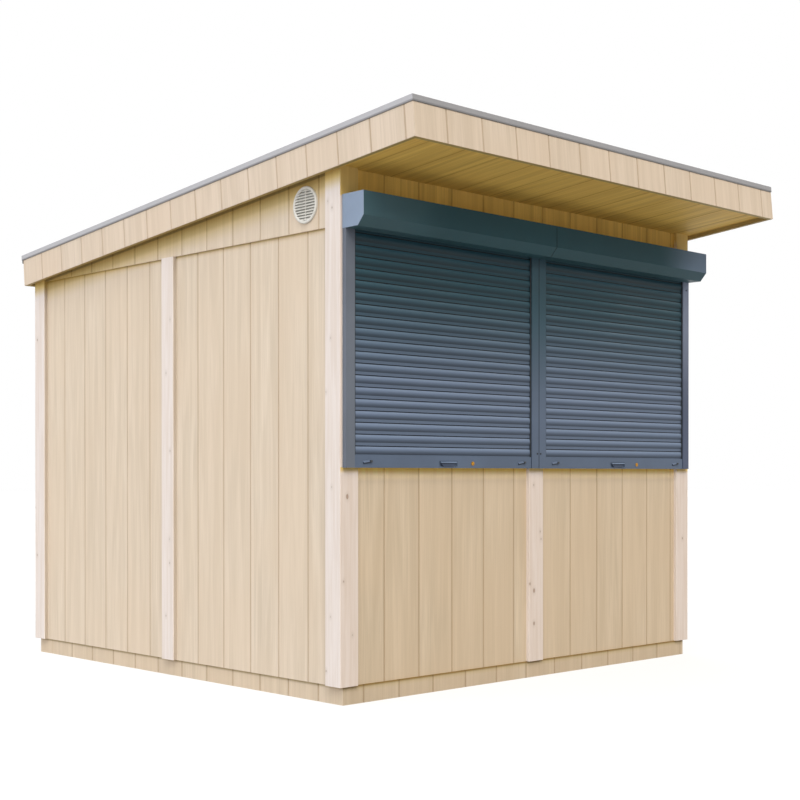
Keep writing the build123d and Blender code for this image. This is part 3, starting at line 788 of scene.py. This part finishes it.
class HUT_OT_metalwork(Operator):
    """Paints the shutters and finishes the roof's trim, covering and vents"""

    bl_idname = "market_hut.metalwork"
    bl_label = "Shutter Paint, Trim and Vents"

    def execute(self, context):
        colours = context.scene.hut_colours
        paint, deep = colours.shutter, colours.paint_shade_tone
        dress(matching("shutter_bottom_bar"), paint_material("shutter_paint", paint))
        # Painted light: the rail in the open takes a paler copy of the paint
        open_paint = shift(paint, LIT_RAIL_TONE)
        dress(("guide_rail_left_1",), paint_material("open_paint", open_paint))
        # Painted shade and light: the far right rail darker at its foot and paler towards the eaves
        far_paint = shift(open_paint, FAR_RAIL_SHADE)
        far_paint = paint_material("far_paint", far_paint, FAR_RAIL_TOP_LIGHT, reach=0.956)
        dress(("guide_rail_right_2",), far_paint)
        # Painted shade towards the eaves on the inner rails
        eaves_shaded = paint_material("sheltered_paint", paint, deep)
        dress(("guide_rail_left_2", "guide_rail_right_1"), eaves_shaded)
        # Painted shade and sheen on the boxes
        dress(matching("shutter_box"), paint_material("box_paint", paint, deep, boxed=True))
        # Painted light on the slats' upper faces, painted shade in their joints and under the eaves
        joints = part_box("shutter_curtain_left")[0].y + context.scene.hut_fittings.joint_depth
        slats = paint_material("slat_paint", paint, colours.slat_shade_tone, True, joints, reach=0.93)
        dress(matching("shutter_curtain"), slats)
        dress(("roof_edge_trim",), sheet_material("edge_trim", colours.trim))
        dress(("roof_covering",), covering_material("roof_sheet", colours.covering))
        dress(matching("vent"), moulded_material("vent_plastic", colours.vent))
        self.screens(moulded_material("screen_mesh", colours.screen, 0.7))
        return {"FINISHED"}

    def screens(self, material):
        """A fine fly screen behind the blades of each vent."""
        for side, hand in zip(SIDES, (-1, 1)):
            low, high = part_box(f"vent_{side}")
            inner = high.x if hand < 0 else low.x
            middle = (low + high) / 2
            mesh = bmesh.new()
            place = Vector((inner - hand * SCREEN_GAP, middle.y, middle.z))
            radius = (high.z - low.z) / 2 * SCREEN_SHARE
            add_disc(mesh, place, radius, SCREEN_THICKNESS, 48, turned="Y")
            add_piece(f"fly_screen_{side}", mesh, material)


class HUT_OT_shutter_fittings(Operator):
    """Adds slide bolts, locks and finger trays to the bottom bars"""

    bl_idname = "market_hut.shutter_fittings"
    bl_label = "Bolts, Locks and Grips"

    def execute(self, context):
        sizes, colours = context.scene.hut_fittings, context.scene.hut_colours
        # Painted light on the bolts' upper faces
        paint = paint_material("bolt_paint", colours.bolt, top_lit=True)
        # Painted light: the lips take a paler copy of the shutter paint
        lip_paint = paint_material("lip_paint", tint(colours.shutter, 2.1))
        dark = moulded_material("dark_fittings", colours.fittings, 0.34)
        tray_paint = paint_material("grip_paint", colours.grip)
        brass = brass_material("brass_lock", colours.brass)
        for side in SIDES:
            low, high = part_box(f"shutter_bottom_bar_{side}")
            foot = Vector(((low.x + high.x) / 2, low.y, low.z))
            self.bolts(side, foot, sizes, paint, dark)
            self.tray(side, foot, sizes, tray_paint, lip_paint)
            self.lock(side, foot, sizes, brass, dark)
        return {"FINISHED"}

    def bolts(self, side, foot, sizes, paint, dark):
        """Two slide bolts: a ridge that stands off the bar, with a dark knob at its end."""
        wedges, knobs = bmesh.new(), bmesh.new()
        knob = shift((sizes.bolt_width, sizes.bolt_depth, sizes.bolt_height), KNOB_SIZE)
        across = sizes.bolt_width * KNOB_PLACE
        climb = math.tan(sizes.bolt_tilt) * across
        for hand in (-1, 1):
            place = foot + Vector((hand * sizes.bolt_from_middle, 0, sizes.bolt_rise))
            self.wedge(wedges, place, sizes)
            knob_place = place + Vector((across, -sizes.bolt_depth * 0.7, climb))
            add_block(knobs, knob_place, knob, sizes.bolt_depth * 0.2)
        add_piece(f"slide_bolts_{side}", wedges, paint)
        add_piece(f"bolt_knobs_{side}", knobs, dark)

    def wedge(self, mesh, place, sizes):
        """One ridge on the face of the bar."""
        depth, half = sizes.bolt_depth, sizes.bolt_height / 2
        profile = ((0, -half), (-depth, -half * 0.2), (-depth * 0.9, 0), (0, half))
        left = place.x - sizes.bolt_width / 2
        points = [(left, place.y + y, place.z + z) for y, z in profile]
        corners, moved, _ = extrude_outline(mesh, points, (sizes.bolt_width, 0, 0))
        outer = [
            line for line in edges_of((*corners, *moved))
            if any(end.co.y < place.y - depth / 2 for end in line.verts)
        ]
        soften(mesh, outer, depth * 0.12)
        ridge = [vert for vert in mesh.verts if abs(vert.co.x - place.x) < sizes.bolt_width]
        turn = Matrix.Rotation(-sizes.bolt_tilt, 3, "Y")
        bmesh.ops.rotate(mesh, cent=place, matrix=turn, verts=ridge)

    def tray(self, side, foot, sizes, paint, lip_paint):
        """A finger grip: a hollow tray, wider at its top, with a lip along the top."""
        mesh = bmesh.new()
        half, narrow = sizes.grip_width / 2, sizes.grip_foot / 2
        rise = sizes.grip_height / 2
        outline = ((-narrow, -rise), (narrow, -rise), (half, rise), (-half, rise))
        points = [(x, 0, z) for x, z in outline]
        _, moved, front = extrude_outline(mesh, points, (0, -sizes.grip_depth, 0))
        bmesh.ops.inset_region(mesh, faces=[front], thickness=sizes.grip_lip)
        bmesh.ops.translate(mesh, vec=(0, sizes.grip_depth * 0.75, 0), verts=front.verts)
        soften(mesh, edges_between(moved), sizes.grip_lip * 0.25)
        place = foot + Vector((0, 0, sizes.grip_rise))
        bmesh.ops.translate(mesh, vec=place, verts=mesh.verts)
        add_piece(f"finger_tray_{side}", mesh, paint)
        lip = bmesh.new()
        lip_size = (sizes.grip_width * 1.02, sizes.grip_depth * 2, sizes.grip_lip * 1.6)
        lip_place = place + Vector((0, -sizes.grip_depth, rise + sizes.grip_lip * 0.8))
        add_block(lip, lip_place, lip_size, sizes.grip_lip * 0.5)
        add_piece(f"finger_lip_{side}", lip, lip_paint)

    def lock(self, side, foot, sizes, brass, dark):
        """A lock cylinder with its keyway."""
        center = foot + Vector((sizes.lock_from_middle, -LOCK_DEPTH / 2, sizes.lock_rise))
        cylinder = bmesh.new()
        add_disc(cylinder, center, sizes.lock_radius, LOCK_DEPTH, 32, 0.0008)
        add_piece(f"lock_cylinder_{side}", cylinder, brass)
        keyway = bmesh.new()
        slit = (0.0016, 0.0006, sizes.lock_radius * 1.1)
        add_block(keyway, center - Vector((0, 0.0016, 0)), slit, 0.0002)
        add_piece(f"lock_keyway_{side}", keyway, dark)


class HUT_OT_shutter_trim(Operator):
    """Adds end plates, brushes and screws to the boxes and guide rails"""

    bl_idname = "market_hut.shutter_trim"
    bl_label = "End Plates, Brushes and Screws"

    def execute(self, context):
        sizes, colours = context.scene.hut_fittings, context.scene.hut_colours
        # Painted light: the end plates take a paler copy of the shutter paint
        paint = paint_material("end_plate_paint", colours.end_plate)
        dark = moulded_material("brush_fibre", colours.fittings, 0.7)
        for side, hand in zip(SIDES, (-1, 1)):
            self.end_plate(side, hand, sizes, paint)
            self.brushes(side, sizes, dark)
        self.screws(sizes, dark)
        return {"FINISHED"}

    def end_plate(self, side, hand, sizes, paint):
        """A painted plate over the outer end of a box, with a thinner strip behind it."""
        low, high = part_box(f"shutter_box_{side}")
        slant_top, slant_foot = self.box_slant(side, low)
        back = high.y - sizes.cap_setback
        end = low.x if hand < 0 else high.x
        front = ((low.y, high.z), (low.y, slant_top), (slant_foot, low.z))
        points = [(end, y, z) for y, z in ((back, low.z), (back, high.z), *front)]
        plate = bmesh.new()
        _, moved, _ = extrude_outline(plate, points, (hand * sizes.cap_thickness, 0, 0))
        soften(plate, edges_between(moved), sizes.cap_thickness * 0.5)
        strip = (sizes.cap_thickness / 2, high.y - back, high.z - low.z)
        edge = end + hand * sizes.cap_thickness / 4
        add_block(plate, (edge, (back + high.y) / 2, (low.z + high.z) / 2), strip)
        add_piece(f"box_end_plate_{side}", plate, paint)

    def brushes(self, side, sizes, dark):
        """Brushes along the inner edges of a shutter's two guide rails."""
        curtain_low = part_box(f"shutter_curtain_{side}")[0]
        bar_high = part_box(f"shutter_bottom_bar_{side}")[1]
        box_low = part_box(f"shutter_box_{side}")[0]
        middle, size = (bar_high.z + box_low.z) / 2, box_low.z - bar_high.z
        mesh = bmesh.new()
        for number, inward in ((1, 1), (2, -1)):
            rail_low, rail_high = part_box(f"guide_rail_{side}_{number}")
            edge = rail_high.x if inward > 0 else rail_low.x
            center = (edge + inward * sizes.brush_width / 2, curtain_low.y, middle)
            add_block(mesh, center, (sizes.brush_width, sizes.brush_depth, size))
        add_piece(f"guide_brushes_{side}", mesh, dark)

    def screws(self, sizes, dark):
        """A screw low on each of the two middle rails, and a plug high on the right one."""
        screws = bmesh.new()
        for side, number, outward in (("left", 2, 1), ("right", 1, -1)):
            rail_low, rail_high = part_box(f"guide_rail_{side}_{number}")
            edge = rail_high.x if outward > 0 else rail_low.x
            inset = edge - outward * sizes.screw_inset
            center = Vector((inset, rail_low.y - SCREW_DEPTH / 2, rail_low.z + sizes.screw_rise))
            add_disc(screws, center, sizes.screw_radius, SCREW_DEPTH, 20, 0.0006)
        add_piece("guide_screws", screws, dark)
        rail_low, rail_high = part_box("guide_rail_right_2")
        plug = bmesh.new()
        rise = rail_high.z - sizes.screw_rise * 0.62
        place = Vector((rail_high.x - sizes.screw_inset * 2, rail_low.y - PLUG_DEPTH / 2, rise))
        add_disc(plug, place, sizes.screw_radius, PLUG_DEPTH, 20)
        add_piece("guide_plug", plug, dark)

    def box_slant(self, side, low, slack=0.0005):
        """Height and depth where the slanted lower edge of a box ends, read from the box."""
        corners = [vert.co for vert in nodes[f"shutter_box_{side}"].data.vertices]
        slant_top = min(point.z for point in corners if point.y < low.y + slack)
        slant_foot = min(point.y for point in corners if point.z < low.z + slack)
        return slant_top, slant_foot


class HUT_OT_stage(Operator):
    """Builds the floor, the lights and the camera"""

    bl_idname = "market_hut.stage"
    bl_label = "Stage"

    def execute(self, context):
        studio = context.scene.hut_studio
        self.floor(studio)
        self.surroundings(context.scene, studio.sky)
        for name, strength, place, width, tone in SUNS:
            self.sun(name, place, width, getattr(studio, strength), tone)
        self.camera(context.scene, studio)
        context.scene.view_settings.view_transform = "Standard"
        return {"FINISHED"}

    def floor(self, studio):
        """A plain pale floor that shows white to the camera and keeps the hut's shadow."""
        mesh = bmesh.new()
        bmesh.ops.create_grid(mesh, x_segments=1, y_segments=1, size=FLOOR_REACH)
        bmesh.ops.translate(mesh, vec=(0, 0, cad_low.z), verts=mesh.verts)
        data = bpy.data.meshes.new("studio_floor")
        mesh.to_mesh(data)
        mesh.free()
        shader = Shader("studio_floor")
        seen = shader.seen()
        grey = (studio.bounce,) * 3
        shader.colour, shader.rough = shader.mix(seen, grey, (0.97, 0.97, 0.97)), 1.0
        shader.finish(specular=0.0)
        white = shader.node("ShaderNodeEmission")
        blend = shader.node("ShaderNodeMixShader")
        shader.join(shader.times(seen, studio.paper), blend.inputs[0])
        shader.join(shader.surface.outputs[0], blend.inputs[1])
        shader.join(white.outputs[0], blend.inputs[2])
        shader.fill(shader.tree.nodes["Material Output"], surface=blend.outputs[0])
        data.materials.append(shader.material)
        floor = add_object("studio_floor", data)

    def surroundings(self, scene, strength):
        """Even light all round, and plain white where the camera looks past the hut."""
        world = bpy.data.worlds.new("studio_world")
        scene.world = world
        world.use_nodes = True
        sky = Nodes(world.node_tree)
        level = sky.node("ShaderNodeMapRange")
        sky.fill(level, value=sky.seen(), to_min=strength, to_max=1.0)
        shade = sky.tree.nodes["Background"]
        sky.fill(shade, color=(1, 1, 1, 1), strength=level.outputs["Result"])

    def sun(self, name, place, spread, strength, tone):
        """A broad, even light from one direction."""
        light = bpy.data.lights.new(name, "SUN")
        light.angle = math.radians(spread)
        light.energy = strength
        light.color = tone
        lamp = add_object(name, light)
        lamp.rotation_euler = Vector(place).to_track_quat("Z", "Y").to_euler()

    def camera(self, scene, studio):
        """The camera of the photograph, with the lens shifted as its framing needs."""
        data = bpy.data.cameras.new("photo_camera")
        data.lens = studio.lens
        data.sensor_width = 36
        data.shift_x, data.shift_y = studio.shift_x, studio.shift_y
        data.clip_end = FAR_CLIP
        camera = add_object("photo_camera", data)
        turn, tilt = studio.camera_heading, studio.camera_pitch
        heading = Vector((math.sin(turn), math.cos(turn), 0))
        look = heading * math.cos(tilt) + Vector((0, 0, math.sin(tilt)))
        camera.location = studio.camera_place
        camera.rotation_euler = look.to_track_quat("-Z", "Y").to_euler()
        scene.camera = camera


class HUT_PT_sidebar(Panel):
    """Lists the hut's pieces and their settings"""

    bl_idname = "HUT_PT_sidebar"
    bl_label = "Market Hut"
    bl_space_type = "VIEW_3D"
    bl_region_type = "UI"
    bl_category = "Market Hut"

    def draw(self, context):
        layout = self.layout
        for operator in PIECES:
            layout.operator(operator.bl_idname)
        for group, _ in SETTINGS:
            settings = getattr(context.scene, group)
            box = layout.box()
            for prop in settings.bl_rna.properties:
                if prop.identifier not in {"rna_type", "name"}:
                    box.prop(settings, prop.identifier)


SETTINGS = (
    ("hut_boards", HutBoardSettings),
    ("hut_colours", HutColourSettings),
    ("hut_fittings", HutFittingSettings),
    ("hut_studio", HutStudioSettings),
)
PIECES = (
    HUT_OT_stage, HUT_OT_boards, HUT_OT_metalwork, HUT_OT_shutter_fittings, HUT_OT_shutter_trim
)


def register():
    """Registers the settings, the operators and the panel."""
    for name, kind in SETTINGS:
        bpy.utils.register_class(kind)
        setattr(bpy.types.Scene, name, PointerProperty(type=kind))
    for kind in (*PIECES, HUT_PT_sidebar):
        bpy.utils.register_class(kind)


def unregister():
    """Takes the panel, the operators and the settings away."""
    for kind in (HUT_PT_sidebar, *reversed(PIECES)):
        bpy.utils.unregister_class(kind)
    for name, kind in reversed(SETTINGS):
        delattr(bpy.types.Scene, name)
        bpy.utils.unregister_class(kind)


def main():
    """Makes the hut's pieces in order."""
    register()
    bpy.ops.market_hut.stage()
    bpy.ops.market_hut.boards()
    bpy.ops.market_hut.metalwork()
    bpy.ops.market_hut.shutter_fittings()
    bpy.ops.market_hut.shutter_trim()


if __name__ == "__main__":
    main()
